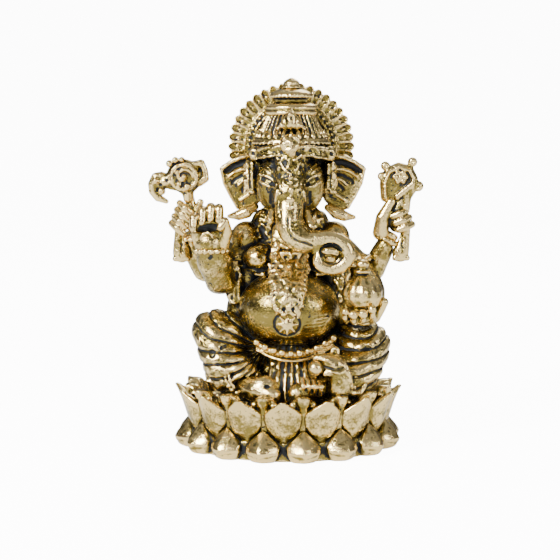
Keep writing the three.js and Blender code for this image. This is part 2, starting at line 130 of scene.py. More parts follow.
class Clay:
    """One piece's signed distance in mm, below zero in the metal. Offsets are from its box's centre."""

    def __init__(self, node, soften=SOFTEN, grow=GROW, margin=1.4):
        low, high = (np.array(corner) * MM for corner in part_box(node))
        self.node = node
        self.centre = (low + high) / 2
        self.half = (high - low) / 2
        self.low = np.floor((low - margin) / VOXEL) * VOXEL
        shape = tuple(np.ceil((high + margin - self.low) / VOXEL).astype(int) + 1)
        points, triangles = cad_mesh(node)
        grid = vdb.FloatGrid.createLevelSetFromPolygons(
            ((points - self.low) / VOXEL).astype(np.float32), triangles, halfWidth=BAND / VOXEL
        )
        sdf = np.empty(shape, np.float32)
        grid.copyToArray(sdf)
        self.sdf = sdf * VOXEL
        if soften:
            self.sdf = blur(self.sdf, soften, VOXEL)
        self.sdf -= grow

    def here(self, *points):
        """Points of the whole figure, in mm, as offsets from the box's centre."""
        return [tuple(float(v) for v in np.array(point) - self.centre) for point in points]

    def axis(self, k):
        """The voxels' coordinates along one axis, as offsets from the box's centre."""
        return self.low[k] + VOXEL * np.arange(self.sdf.shape[k]) - self.centre[k]

    def window(self, low, high):
        """The slices between two offsets, and the open grid of offsets in them."""
        slices, lines = [], []
        for k in range(3):
            line = self.axis(k)
            start, stop = np.searchsorted(line, (low[k], high[k]))
            slices.append(slice(start, stop))
            shape = [1, 1, 1]
            shape[k] = -1
            lines.append(line[start:stop].reshape(shape).astype(np.float32))
        return tuple(slices), lines

    def rope_field(self, points, radii, reach):
        """A window round a rope through points, and the distance to the rope in it."""
        points = np.array(points, float)
        radii = np.broadcast_to(np.array(radii, float), len(points))
        edge = radii.max() + reach
        slices, _ = self.window(points.min(0) - edge, points.max(0) + edge)
        field = np.full([s.stop - s.start for s in slices], edge + 1, np.float32)
        for a, b, ra, rb in zip(points[:-1], points[1:], radii[:-1], radii[1:]):
            part, (x, y, z) = self.window(np.minimum(a, b) - edge, np.maximum(a, b) + edge)
            if any(s.stop <= s.start for s in part):
                continue
            span = b - a
            length = max(float(span @ span), 1e-9)
            t = ((x - a[0]) * span[0] + (y - a[1]) * span[1] + (z - a[2]) * span[2]) / length
            t = np.clip(t, 0, 1)
            gap = np.sqrt(
                (x - a[0] - t * span[0]) ** 2
                + (y - a[1] - t * span[1]) ** 2
                + (z - a[2] - t * span[2]) ** 2
            )
            gap -= ra + (rb - ra) * t
            inner = tuple(slice(p.start - s.start, p.stop - s.start) for p, s in zip(part, slices))
            field[inner] = np.minimum(field[inner], gap)
        return slices, field

    def merge(self, slices, field, blend, carve=False):
        here = self.sdf[slices]
        if carve:
            self.sdf[slices] = -smooth_min(-here, field, blend)
        else:
            self.sdf[slices] = smooth_min(here, field, blend)

    def rope(self, points, radii, blend=0.15):
        """Adds a round rope through points."""
        self.merge(*self.rope_field(points, radii, blend), blend)

    def groove(self, points, radii, blend=0.15):
        """Carves the path of a round rope through points."""
        self.merge(*self.rope_field(points, radii, blend), blend, carve=True)

    def ball(self, centre, radii, blend=0.15, carve=False):
        """Adds or carves an ellipsoid."""
        radii = np.broadcast_to(np.array(radii, float), 3)
        centre = np.array(centre, float)
        edge = radii.max() + blend
        slices, (x, y, z) = self.window(centre - edge, centre + edge)
        if any(s.stop <= s.start for s in slices):
            return
        scaled = np.sqrt(
            ((x - centre[0]) / radii[0]) ** 2
            + ((y - centre[1]) / radii[1]) ** 2
            + ((z - centre[2]) / radii[2]) ** 2
        )
        self.merge(slices, (scaled - 1) * radii.min(), blend, carve)

    def front(self, line, lift=0.0, step=0.5):
        """The points [x, y, z] where a line of (x, z) offsets, cut into steps, meets the front."""
        line = np.array(line, float)
        path = []
        for a, b in zip(line[:-1], line[1:]):
            count = max(1, int(math.ceil(math.dist(a, b) / step)))
            path.extend(a + (b - a) * i / count for i in range(count))
        path.append(line[-1])
        found = []
        depth = self.axis(1)
        for x, z in path:
            i = int(round((x + self.centre[0] - self.low[0]) / VOXEL))
            k = int(round((z + self.centre[2] - self.low[2]) / VOXEL))
            if not (0 <= i < self.sdf.shape[0] and 0 <= k < self.sdf.shape[2]):
                continue
            column = self.sdf[i, :, k]
            j = int(np.argmax(column < 0))
            if column[j] < 0 and j > 0:
                share = column[j - 1] / (column[j - 1] - column[j])
                found.append((x, depth[j - 1] + share * VOXEL - lift, z))
        return found

    def draw(self, line, radius, lift=0.0, carve=False, blend=0.12):
        """A raised or carved line that follows the front of the piece."""
        path = self.front(line, lift)
        if len(path) > 1:
            (self.groove if carve else self.rope)(path, radius, blend)

    def stud(self, x, z, radius, lift=0.0, carve=False, blend=0.1):
        """A round boss or pit on the front of the piece."""
        for point in self.front([(x, z), (x, z)], lift)[:1]:
            self.ball(point, radius, blend, carve)

    # -- whole-piece shapes

    def coordinates(self):
        """Offsets x, y and z of every voxel, as an open grid."""
        return [
            self.axis(k).reshape([-1 if a == k else 1 for a in range(3)]).astype(np.float32)
            for k in range(3)
        ]

    def polar(self, count, start, upright=True):
        """Radius, distance round from the nearest of count spokes, and height, about the box's centre.

        An upright piece's spokes spread from a vertical axis, any other's from one that points forwards.
        """
        x, y, z = self.coordinates()
        across, height = (y, z) if upright else (z, y)
        radius = np.sqrt(x * x + across * across)
        step = 2 * math.pi / count
        angle = np.arctan2(x, -across if upright else across) - start
        angle = angle - step * np.round(angle / step)
        return radius, radius * angle, height + 0 * radius

    def replace(self, field):
        self.sdf = np.broadcast_to(field, self.sdf.shape).astype(np.float32)


def profile(value, pairs):
    """A smooth-enough curve through (value, result) pairs."""
    at, result = zip(*pairs)
    return np.interp(value, at, result).astype(np.float32)


def inside(*distances, k=0.3):
    """The distance to what all the shapes share, with edges rounded over k mm."""
    field = distances[0]
    for other in distances[1:]:
        field = -smooth_min(-field, -other, k)
    return field


def either(*distances, k=0.3):
    field = distances[0]
    for other in distances[1:]:
        field = smooth_min(field, other, k)
    return field


# ---- the lotus

PETALS = 16
TURN = math.radians(3)  # the lotus is turned this far from square to the figure
HALF_STEP = math.pi / PETALS


def upper_petals(clay):
    """Broad leaves, their smooth faces flaring outwards to a small pointed lip."""
    r, s, z = clay.polar(PETALS, -TURN)
    low, high = -clay.half[2] - 0.9, clay.half[2] + 0.4
    t = (z - low) / (high - low)
    rim = clay.half[0]
    outer = rim + profile(t, [(0, -4.0), (0.3, -2.3), (0.65, -1.2), (0.9, -0.2), (1, 0.5)])
    outer = outer - 0.085 * s * s
    width = profile(
        t,
        [(0, 0.2), (0.15, 1.4), (0.3, 2.6), (0.45, 3.6), (0.6, 4.0), (0.72, 3.7), (0.84, 2.5),
         (0.93, 1.2), (1, 0.5)],
    )
    thick = profile(t, [(0, 3.0), (0.4, 2.2), (0.8, 1.3), (1, 1.1)])
    leaf = inside(0.92 * (r - outer), 0.92 * (outer - thick - r), 0.8 * (np.abs(s) - width), k=0.5)
    leaf = inside(leaf, z - high, low - z, k=0.4)
    # two ridges inside the rim, which show where a leaf is seen from behind
    for inset in (0.5, 1.3):
        ridge = np.hypot(np.abs(s) - width + inset, r - outer + thick) - 0.28
        leaf = smooth_min(leaf, np.maximum(ridge, 12 * np.maximum(t - 0.9, 0.35 - t)), 0.2)
    hoop = inside(r - rim + 4.0, rim - 6.0 - r, z - 0.6, low + 0.1 - z, k=0.3)
    clay.replace(either(leaf, hoop, k=0.2))


def inner_petals(clay):
    """Narrow leaves between the upper ones, each with a smooth rib and a curled lip."""
    r, s, z = clay.polar(PETALS, HALF_STEP - TURN)
    low, high = -clay.half[2], clay.half[2]
    t = (z - low) / (high - low)
    rim = clay.half[0]
    outer = rim + profile(t, [(0, -0.4), (0.4, 0.0), (0.75, 0.6), (0.92, 1.2), (1, 1.5)])
    width = profile(t, [(0, 2.2), (0.5, 2.4), (0.75, 2.6), (0.88, 2.2), (0.96, 1.5), (1, 1.0)])
    leaf = inside(r - outer + 0.16 * s * s, outer - 2.2 - r, np.abs(s) - width, z - high, low - z, k=0.5)
    rib = np.hypot(s, 1.0 * (r - outer + 0.4)) - profile(t, [(0, 0.9), (0.7, 1.1), (0.85, 1.5), (1, 1.4)])
    rib = inside(rib, z - high, low - z, k=0.6)
    curl = np.sqrt((np.abs(s) - 2.0) ** 2 + (r - rim - 0.2) ** 2 + 1.2 * (z - high + 1.7) ** 2) - 0.75
    hoop = inside(r - rim + 1.4, rim - 3.6 - r, z - 0.8, low - z, k=0.3)
    clay.replace(either(leaf, rib, curl, hoop, k=0.3))


def lower_petals(clay):
    """Bud-like leaves that point outwards, with a keel along the top and a lip below."""
    r, s, z = clay.polar(PETALS, HALF_STEP - TURN)
    height = z + clay.half[2]
    rim = clay.half[0] - 22.7
    side = np.abs(s)
    outer = rim + profile(
        height,
        [(0, 21.7), (0.5, 22.5), (1.2, 23.1), (2.2, 23.4), (3.2, 22.9), (4.4, 21.9), (5.6, 20.8), (6.4, 20.0)],
    )
    outer = outer - 0.11 * s * s - 0.22 * side
    width = profile(height, [(0, 2.3), (1, 2.9), (2, 3.4), (3, 3.5), (4, 2.8), (5, 1.7), (6, 0.7), (6.4, 0.2)])
    bud = inside(0.85 * (r - outer), side - width, rim + 18.4 - r, -height, k=0.45)
    crease = np.hypot(r - outer - 0.05, height - 1.15 - 0.16 * side) - 0.2
    bud = inside(bud, -crease, k=0.2)
    hoop = inside(r - rim - 20.0, rim + 16.6 - r, height - 3.9, -height, k=0.3)
    clay.replace(either(bud, hoop, k=0.25))


def lotus_core(clay):
    """The seat, its top left rough from the mould."""
    clay.sdf -= 0.22 * grain(clay, 0.5, seed=3) * (clay.coordinates()[2] > 0)


def grain(clay, size, seed):
    """Seeded noise of about unit strength and of that grain size in mm, over the clay's block."""
    noise = np.random.default_rng(seed).standard_normal(clay.sdf.shape).astype(np.float32)
    noise = blur(noise, size / 2, VOXEL)
    return noise / noise.std()


# ---- halo and crown

LEAVES = 40


def halo_leaves(clay):
    """A ring of pointed leaves, each with a raised rim round a small boss."""
    r, s, y = clay.polar(LEAVES, 0, upright=False)
    rim = clay.half[0] + 0.2
    inner = rim - 3.1
    side = np.abs(s)
    width = profile(
        r - rim, [(-3.1, 0.66), (-2.2, 0.82), (-1.2, 0.96), (-0.6, 0.94), (-0.1, 0.7), (0.3, 0.2)]
    )
    leaf = inside(side - width, r - rim - 0.3, inner - r, np.abs(y - 0.2) - 0.35, k=0.12)
    face = -0.4
    lip = np.hypot(side - width + 0.14, y - face) - 0.25
    lip = inside(lip, r - rim - 0.3, inner - r, k=0.1)
    boss = np.sqrt(s * s + (0.7 * (r - rim + 1.5)) ** 2 + (y - face - 0.1) ** 2) - 0.3
    band = np.hypot(r - inner + 0.1, y - face) - 0.26
    disc = inside(r - rim + 1.6, inner - 0.4 - r, np.abs(y) - 0.45, k=0.1)
    clay.replace(either(leaf, lip, boss, band, disc, k=0.1))


def halo_plate(clay):
    """The halo's disc: a ring of beads between two ridges, round a smooth recess."""
    r, s, y = clay.polar(44, 0, upright=False)
    rim = clay.half[0] + 0.2
    face = -clay.half[1] + 0.5
    disc = inside(r - rim, face - y, y - clay.half[1], k=0.1)
    beads = np.sqrt((r - rim + 0.85) ** 2 + s * s + (y - face) ** 2) - 0.42
    ridge = np.hypot(r - rim + 1.6, y - face) - 0.36
    clay.replace(either(disc, beads, ridge, k=0.1))


def ripple(clay, count, depth, start=0.0, sharp=1.0):
    """Flutes of that depth, dealt round a vertical axis through the box's centre."""
    x, y, _ = clay.coordinates()
    wave = np.cos(count * (np.arctan2(x, -y) - start))
    clay.sdf -= (depth * np.sign(wave) * np.abs(wave) ** sharp).astype(np.float32)


def turned(clay, pairs):
    """A turned form: (height, radius) pairs as offsets from the box's centre."""
    r, _, z = clay.polar(1, 0)
    heights = [pair[0] for pair in pairs]
    form = inside(0.8 * (r - profile(z, pairs)), z - heights[-1], heights[0] - z, k=0.35)
    clay.replace(form)


def ring_of_balls(clay, count, radius, height, size, start=0.0, blend=0.1):
    for i in range(count):
        angle = start + 2 * math.pi * i / count
        clay.ball((radius * math.sin(angle), -radius * math.cos(angle), height), size, blend)


def crown_finial(clay):
    turned(clay, [(-1.3, 1.9), (-0.9, 2.05), (-0.5, 1.6), (-0.1, 1.75), (0.4, 1.3), (0.8, 0.7), (1.05, 0.2)])


def crown_tier(clay):
    turned(clay, [(-1.6, 3.3), (-0.6, 3.4), (-0.2, 4.15), (0.2, 4.3), (0.7, 3.9), (1.1, 3.1), (1.4, 2.2)])
    ring_of_balls(clay, 30, 4.1, -0.15, 0.36)


def crown_upper_ring(clay):
    turned(clay, [(-1.4, 4.4), (-1.1, 5.15), (-0.5, 5.4), (-0.05, 5.0), (0.3, 5.3), (0.8, 5.1), (1.3, 4.3)])
    r, _, z = clay.polar(1, 0)
    clay.sdf = inside(clay.sdf, -(np.hypot(r - 5.45, z + 0.05) - 0.28), k=0.15)


def crown_cone(clay):
    turned(clay, [(-1.9, 6.55), (-1.0, 6.15), (0, 5.6), (1.0, 5.1), (1.9, 4.6)])
    ripple(clay, 34, 0.26, sharp=0.8)


def crown_lower_ring(clay):
    turned(clay, [(-1.1, 7.5), (-0.6, 7.85), (0, 7.7), (0.5, 7.1), (1.1, 6.6)])
    teeth = 28
    for i in range(teeth):
        angle = 2 * math.pi * i / teeth
        foot = [7.0 * math.sin(angle), -7.0 * math.cos(angle), 0.7]
        tip = [6.5 * math.sin(angle), -6.5 * math.cos(angle), 2.0]
        clay.rope([foot, tip], [0.55, 0.12], 0.2)
    ring_of_balls(clay, 40, 7.75, -0.75, 0.3)


def headband(clay):
    """A pitted band that arches over each brow, dips between them and ends in rosettes."""
    x, _, _ = clay.coordinates()
    r, _, z = clay.polar(1, 0)
    dip = profile(x, [(-8, -0.3), (-5, 0.5), (-2.4, 0.8), (-0.3, -0.6), (1.8, 0.8), (4.4, 0.5), (8, -0.3)])
    level = z - dip
    bulge = profile(level, [(-1.3, 8.2), (-1.0, 8.6), (-0.5, 8.3), (0.5, 8.3), (0.9, 8.5), (1.2, 8.1)])
    band = inside(0.8 * (r - bulge), level - 1.2, -1.3 - level, k=0.3)
    clay.replace(band - 0.09 * grain(clay, 0.6, seed=11))
    for side in (-1, 1):
        clay.ball((side * 7.6, -3.2, 0), (1.1, 1.3, 1.5), 0.3)
        clay.stud(side * 7.9, 0, 0.5, carve=True)


def forehead_jewel(clay):
    """A pitted heart under a crown of three points."""
    clay.replace(clay.sdf + 2)
    clay.ball((0, -0.4, 0.7), (2.2, 1.7, 1.9), 0.3)
    clay.rope([(0, -0.6, -0.3), (0, -0.3, -2.8)], [1.7, 0.3], 0.3)
    for k in (-1, 0, 1):
        clay.rope([(1.15 * k, -1.2, 1.7), (1.3 * k, -1.0, 3.0 - 0.3 * abs(k))], [0.6, 0.14], 0.15)
    clay.sdf -= 0.08 * grain(clay, 0.55, seed=12)


def crown_palmette(clay):
    """A fleur of a raised point over two side curls, with a pit in its middle."""
    clay.rope([(0, -0.6, -0.6), (0, -0.8, 1.0), (0, 0.1, 2.6)], [1.2, 0.95, 0.15], 0.3)
    for side in (-1, 1):
        clay.ball((1.75 * side, -0.6, -0.9), (0.75, 0.7, 0.6), 0.25)
        clay.ball((2.6 * side, -0.2, -1.5), 0.42, 0.2)
    clay.stud(0, 0.6, 0.42, carve=True)


SCULPT = {
    "upper_petals": upper_petals,
    "inner_petals": inner_petals,
    "lower_petals": lower_petals,
    "lotus_core": lotus_core,
    "halo_leaves": halo_leaves,
    "halo_plate": halo_plate,
    "crown_finial": crown_finial,
    "crown_tier": crown_tier,
    "crown_upper_ring": crown_upper_ring,
    "crown_cone": crown_cone,
    "crown_lower_ring": crown_lower_ring,
    "headband": headband,
    "forehead_jewel": forehead_jewel,
    "crown_palmette": crown_palmette,
}


# ---- head


def mirrored(line, side):
    """A line of (x, z) offsets on the viewer's right (side 1) or left (side -1)."""
    return [(side * x, z) for x, z in line]


def head(clay):
    """A mask-like face: a pitted shield between two brow lines, and eyes that slant to the trunk."""
    bridge = clay.here((0.4, -6.4, 58.5), (0.35, -7.2, 55), (0.3, -8.2, 52), (0.2, -8.9, 49.6))
    clay.rope(bridge, [3.4, 3.1, 3.4, 2.8], 1.2)
    for side in (-1, 1):
        (cheek,) = clay.here((0.4 + 4.1 * side, -4.2, 53.4))
        clay.ball(cheek, (2.7, 3.6, 5.0), 1.0)
    x, y, z = clay.coordinates()
    z = z + clay.centre[2]
    shielded = np.clip((z - 53.6 - 0.9 * np.abs(x)) * 1.5, 0, 1) * (y < 0)
    clay.sdf -= 0.12 * grain(clay, 0.5, seed=5) * shielded
    for side in (-1, 1):
        clay.draw(level(clay, side, (3.2, 53.8), (4.3, 54.4), (5.6, 54.9)), 0.46, carve=True)
        clay.draw(level(clay, side, (4.0, 54.2), (4.8, 54.5)), 0.36, lift=0.1)
        clay.draw(level(clay, side, (2.7, 53.8), (4.1, 55.2), (6.0, 55.7)), 0.24)
        clay.draw(level(clay, side, (2.8, 53.2), (4.6, 53.4), (6.0, 54.4)), 0.24)
        clay.draw(level(clay, side, (5.9, 58.4), (4.4, 57.1), (3.1, 55.7), (2.1, 54.3), (1.9, 53)), 0.24)
        clay.draw(level(clay, side, (6.5, 57.5), (5.1, 56.7), (4.0, 55.8)), 0.24)
        clay.draw(level(clay, side, (4.0, 52.2), (4.0, 50.0)), 0.3, carve=True)
        clay.draw(level(clay, side, (2.6, 52.6), (3.0, 50.2)), 0.3)
        for place in ((2.0, 52.4), (2.4, 50.4)):
            clay.stud(*level(clay, side, place)[0], 0.3, carve=True)
    clay.draw(level(clay, 1, (-1.9, 58.1), (-1.3, 56.9), (0.0, 56.1), (1.3, 56.9), (1.9, 58.2)), 0.24)
    clay.draw(level(clay, 1, (0, 56), (0, 55.3)), 0.34)
    ring = [(1.5 * math.cos(a), 54.4 + 0.8 * math.sin(a)) for a in np.linspace(0, 2 * math.pi, 17)]
    clay.draw(level(clay, 1, *ring), 0.2)
    clay.stud(*level(clay, 1, (0, 54.4))[0], 0.35)
    for height, size in ((52.9, 0.62), (52.0, 0.4), (51.0, 0.7), (50.1, 0.4)):
        clay.stud(*level(clay, 1, (0.1, height))[0], size, lift=-0.15, blend=0.3)


def level(clay, side, *points):
    """(x, z) points: x out from the face's middle on one side, z up from the ground, as offsets."""
    return [(side * x, z - clay.centre[2]) for x, z in points]


def trunk(clay):
    """The trunk, with a long crease along its bend and its tip rolled up inside the curl."""
    crease = [(-5.4, 2.6), (-5.3, 0.2), (-4.6, -1.0), (-3.4, -1.7), (-1.6, -2.1), (-0.6, -2.6)]
    clay.draw(crease, 0.26, carve=True)
    curl = [(3.3 + 2.0 * math.cos(a), -4.2 + 1.8 * math.sin(a)) for a in np.linspace(0.5, 5.6, 22)]
    path = [(x, clay.front([(3.3, -1.5), (3.3, -1.5)])[0][1] + 0.7, z) for x, z in curl]
    clay.groove(path, 0.5, 0.1)
    clay.draw([(2.0, -4.3), (3.4, -4.5), (4.6, -4.9)], 0.16, carve=True)
    clay.stud(4.1, -3.6, 0.2, carve=True)
    for z in (1.9, 1.2, 0.5):
        clay.draw([(-4.6, z), (-3.9, z - 0.1), (-3.2, z + 0.2)], 0.17, carve=True)
    for z, size in ((8.0, 0.75), (6.3, 0.85), (4.9, 0.5)):
        clay.stud(-5.0, z, size, lift=-0.3, blend=0.4)
    clay.rope([(x, y - 0.1, z) for x, y, z in clay.front([(1.9, -3.7), (3.3, -3.6), (4.6, -4.2)])], 0.75, 0.15)
    clay.draw([(2.3, -4.0), (3.5, -3.9), (4.7, -4.2)], 0.2, carve=True)
    for side in (-1, 1):
        clay.draw([(-5.0 + 1.9 * side, 7.6), (-5.0 + 2.1 * side, 4.6), (-5.0 + 1.7 * side, 2.8)], 0.18, carve=True)


EAR_FOLDS = [  # carved (True) and raised (False) arcs, from the top of the ear to its middle
    (True, 0.62, [(-2.2, 4.2), (-0.3, 4.2), (1.6, 3.5), (3.1, 2.6)]),
    (True, 0.34, [(-2.2, 1.9), (-0.3, 1.7), (1.3, 0.8), (1.8, 0.1)]),
    (True, 0.34, [(-1.9, 0.1), (-0.7, -0.5), (-0.1, -1.3)]),
    (False, 0.42, [(-2.8, 5.6), (0.0, 5.35), (2.3, 4.3), (4.1, 2.9)]),
    (False, 0.3, [(-2.3, 2.9), (-0.3, 2.9), (1.5, 2.3), (2.7, 1.3)]),
    (False, 0.26, [(-2.0, 1.1), (-0.5, 0.7), (0.6, -0.3)]),
    (False, 0.34, [(4.0, 2.4), (3.5, 0.0), (2.2, -2.6), (0.8, -5.0)]),
]


def ear(clay, side):
    """A fan-shaped ear: a rolled rim, and folds that spread from its root."""
    x, _, z = clay.coordinates()
    cup = ((side * x - 0.5) ** 2 * 0.02 + (z + 0.5) ** 2 * 0.01).astype(np.float32)
    clay.sdf += 0.25 - np.minimum(cup, 0.5)
    for carve, radius, line in EAR_FOLDS:
        clay.draw(mirrored(line, side), radius, lift=0.0 if carve else 0.1, carve=carve)
    clay.draw(mirrored([(-1.6, -2.2), (0.2, -3.4)], side), 0.4, lift=-0.1)


def earring(clay, side):
    """A horn-shaped drop that curls outwards to a point under the ear."""
    clay.replace(clay.sdf + 2)
    root, bend, swell, tip = (-3.3 * side, -0.6, 2.0), (-1.6 * side, -0.9, 0.9), (0, -0.8, 0.3), (2.0 * side, 0, 0)
    clay.rope([root, bend, swell, tip], [0.8, 1.25, 1.1, 0.45], 0.4)


def lappet(clay, side):
    """A braid that hangs in front of the ear and ends in a wedge."""
    clay.sdf -= 0.13 * grain(clay, 0.5, seed=60 + side)
    clay.draw([(0, 2.9), (0.1 * side, 0), (0, -2.2)], 0.18, carve=True)
    for k in range(9):
        clay.stud(0.45, 2.8 - 0.6 * k, 0.24)
        clay.stud(-0.45, 2.5 - 0.6 * k, 0.24)
    clay.draw([(-1.1, -3.0), (1.1, -3.0)], 0.36)


# ---- body


def belly(clay):
    """A round belly: a ring of black round the navel's flower, and scored lines on its left."""
    clay.replace(clay.sdf + 1.0)
    clay.ball((0, -0.4, -0.9), clay.half + (0.3, 0.4, 0.8), 0.4)
    ring = [(2.6 * math.cos(a) - 0.45, 2.5 * math.sin(a) - 2.9) for a in np.linspace(0, 2 * math.pi, 25)]
    clay.draw(ring, 0.3, carve=True)
    for k, z in enumerate((-1.9, -2.7, -3.4, -4.3, -4.9)):
        clay.draw([(3.2, z), (5.4, z + 0.2), (8.2 - 0.5 * k, z + 0.4)], 0.13, carve=True)


def torso(clay):
    """Chest and back: full breasts over a dark fold, and a sash that falls down the back."""
    for side in (-1, 1):
        breast, flank, strap = clay.here(
            (0.4 + 6.6 * side, -3.8, 38.8), (0.4 + 8.4 * side, 0.6, 35.5), (0.4 + 7.0 * side, -4.8, 35.6)
        )
        clay.ball(flank, (3.0, 4.4, 6.5), 0.8)
        clay.ball(clay.here((0.4 + 10.5 * side, -1.0, 27.6))[0], (2.5, 3.0, 4.2), 0.6)
        clay.ball(clay.here((0.4 + 4.6 * side, 2.0, 45.2))[0], (3.4, 3.6, 3.4), 0.8)
        clay.ball(clay.here((0.4 + 8.9 * side, 0.2, 42.4))[0], (3.3, 3.4, 3.5), 0.8)
        clay.ball(breast, (2.9, 3.4, 2.5), 0.5)
        clay.rope([(strap[0] - 1.6 * side, strap[1] - 1, strap[2]), strap], [0.55, 0.4], 0.2)
        clay.draw(level(clay, side, (3.4, 36.7), (6.4, 36.3), (9.2, 37.0)), 0.5, carve=True)
    x, y, z = clay.coordinates()
    pitted = np.clip((z - 9) / 1.5, 0, 1) * np.clip(7.5 - np.abs(x), 0, 1) * (y < 2)
    clay.sdf -= 0.14 * grain(clay, 0.6, seed=8) * pitted
    # the back: a spine, the edge of the waistcloth, and the sash's pleats
    clay.groove([(0, 9.9, height) for height in np.linspace(-8, 10, 10)], 1.6, 0.8)
    waist = [(9.3 * math.sin(a), 0.6 + 9.2 * math.cos(a), -6.5) for a in np.linspace(-1.4, 1.4, 15)]
    clay.rope(waist, 0.7, 0.2)
    for k in range(-3, 4):
        top = (2.3 * k, 9.5 - 0.25 * k * k, -7.2)
        clay.groove([top, (2.8 * k, 8.8 - 0.3 * k * k, -15.0)], 0.4, 0.2)


def chest_cloth(clay):
    """A bib with toothed edges, pricked with dots, that hangs from two dotted straps."""
    (neck, below) = clay.here((0.5, -9.0, 46), (0.5, -9.6, 39.6))
    clay.groove([neck, below], [2.2, 1.5], 0.3)
    clay.sdf -= 0.09 * grain(clay, 0.5, seed=21)
    edge = [(6.5, 3.0), (1.5, 3.4), (-1, 4.3), (-5, 4.2), (-7.5, 2.6), (-9.2, 0.9)]
    heights, widths = zip(*edge[::-1])
    for height in np.arange(-9.0, 0.6, 0.85):
        wide = float(np.interp(height, heights, widths))
        for side in (-1, 1):
            clay.stud(side * wide, height, 0.42, lift=-0.05)
            clay.stud(side * (wide - 0.95), height + 0.4, 0.3, carve=True)
    for side in (-1, 1):
        clay.stud(0.9 * side, -8.0, 0.42, carve=True)


def navel_flower(clay):
    """Eight pointed petals round a boss."""
    clay.replace(clay.sdf + 1.4)
    for k in range(8):
        a = math.pi * k / 4
        clay.rope([(0, -0.5, 0), (2.1 * math.sin(a), -0.5, 2.1 * math.cos(a))], [0.62, 0.18], 0.06)
    clay.ball((0, 0.5, 0), (1.0, 1.0, 1.0), 0.2)
    ring = [(0.72 * math.sin(a), -0.95, 0.72 * math.cos(a)) for a in np.linspace(0, 2 * math.pi, 13)]
    clay.groove(ring, 0.15, 0.1)


def bead_belt(clay):
    """A string of separate beads that sags under the belly, over a thin corded edge."""
    clay.replace(clay.sdf + 2)
    spread = [0.5 + 1.72 * k for k in range(-4, 6)]
    arc = [(x, -13.2 + 0.065 * (x - 0.5) ** 2, 20.5 + 0.036 * (x - 0.8) ** 2) for x in spread]
    arc = clay.here(*arc)
    clay.rope([(x, y + 1.1, z - 0.4) for x, y, z in arc], 0.7, 0.1)
    clay.rope([(x, y + 0.3, z - 1.5) for x, y, z in arc], 0.3, 0.1)
    for point in arc:
        clay.ball(point, 0.74, 0.04)


def pendant(clay):
    """A triangular drop with two pits at its top corners."""
    clay.draw([(-2.1, 1.9), (2.1, 1.9), (0, -2.0), (-2.1, 1.9)], 0.3, lift=0.05)
    for side in (-1, 1):
        clay.stud(1.0 * side, 1.0, 0.36, carve=True)
    clay.draw([(0, 1.6), (0, -1.4)], 0.28, lift=0.1)


def drape(clay, side):
    """The end of the shawl, hanging in the crook of the arm."""
    clay.ball((0, 0.8, 0.4), (1.9, 1.4, 4.4), 0.4)
    clay.sdf -= 0.12 * grain(clay, 0.6, seed=40 + side)
    for dx in (-0.5, 0.4):
        clay.draw([(dx, 3.0), (dx, -2.8)], 0.2, carve=True)


def skirt_front(clay):
    """Pleats that fan out from the belt."""
    x, y, z = clay.coordinates()
    fan = x / (1 - 0.035 * (z - 2))
    wave = np.cos(2 * math.pi * (fan + 0.2 * np.sin(0.9 * fan)) / 1.35)
    clay.sdf -= (0.22 * wave * (y < 1.5)).astype(np.float32)
    clay.sdf -= 0.08 * grain(clay, 0.7, seed=70)


# ---- legs


def leg(clay, side, pivot, folds, heel, lean):
    """A crossed leg in a pleated wrap. folds gives the phase from (bearing, distance) about a pivot.

    Below the knee the leg draws in: heel is (out, up) on its outer edge, and lean the edge's slope.
    """
    x, y, z = clay.coordinates()
    sideways, rise = side * (x + clay.centre[0]) - heel[0], z + clay.centre[2] - heel[1]
    edge = sideways * math.cos(lean) - rise * math.sin(lean) + 0 * y
    clay.sdf = inside(clay.sdf, edge.astype(np.float32), k=2.5)
    out = side * (x + clay.centre[0]) - pivot[0]
    up = z + clay.centre[2] - pivot[1]
    reach = np.hypot(out, up)
    phase = folds(np.arctan2(up, out), reach) + 0.1 * np.sin(0.6 * out + 0.5 * up)
    off = np.abs(phase - np.round(phase))
    relief = 0.08 - 0.3 * np.exp(-((off / 0.08) ** 2)) - 0.09 * np.cos(2 * math.pi * phase)
    relief = relief - 0.3 * np.clip(grain(clay, 1.1, seed=51 + side) - 1.3, 0, 1)
    strength = np.clip((reach - 1.0) / 3.0, 0, 1) * np.clip((3.0 - y) / 4.0, 0, 1)
    clay.sdf -= (relief * strength).astype(np.float32)
    clay.sdf -= 0.05 * grain(clay, 0.8, seed=31 + side)


def fan_folds(bearing, reach):
    return (bearing - 0.02 * reach) / 0.25


def ring_folds(bearing, reach):
    return reach / 2.3 - 0.3 * bearing


def foot(clay, side):
    """A foot on its side: a round heel on one foot, and curled toes on the other."""
    if side < 0:
        heel, pit = clay.here((-4.8, -15.0, 14.0), (-4.2, -17.0, 14.6))
        clay.ball(heel, (2.8, 2.1, 2.5), 0.5)
        clay.ball(pit, (0.55, 0.6, 0.4), 0.1, carve=True)
        return
    for k in range(4):
        x = 2.6 + 1.15 * k
        toe = clay.here((x, -16.0, 15.9 - 0.2 * k), (x + 0.4, -17.2, 14.6), (x + 0.1, -16.6, 12.9))
        clay.rope(toe, [0.5, 0.6, 0.4], 0.1)


# ---- arms and what they hold


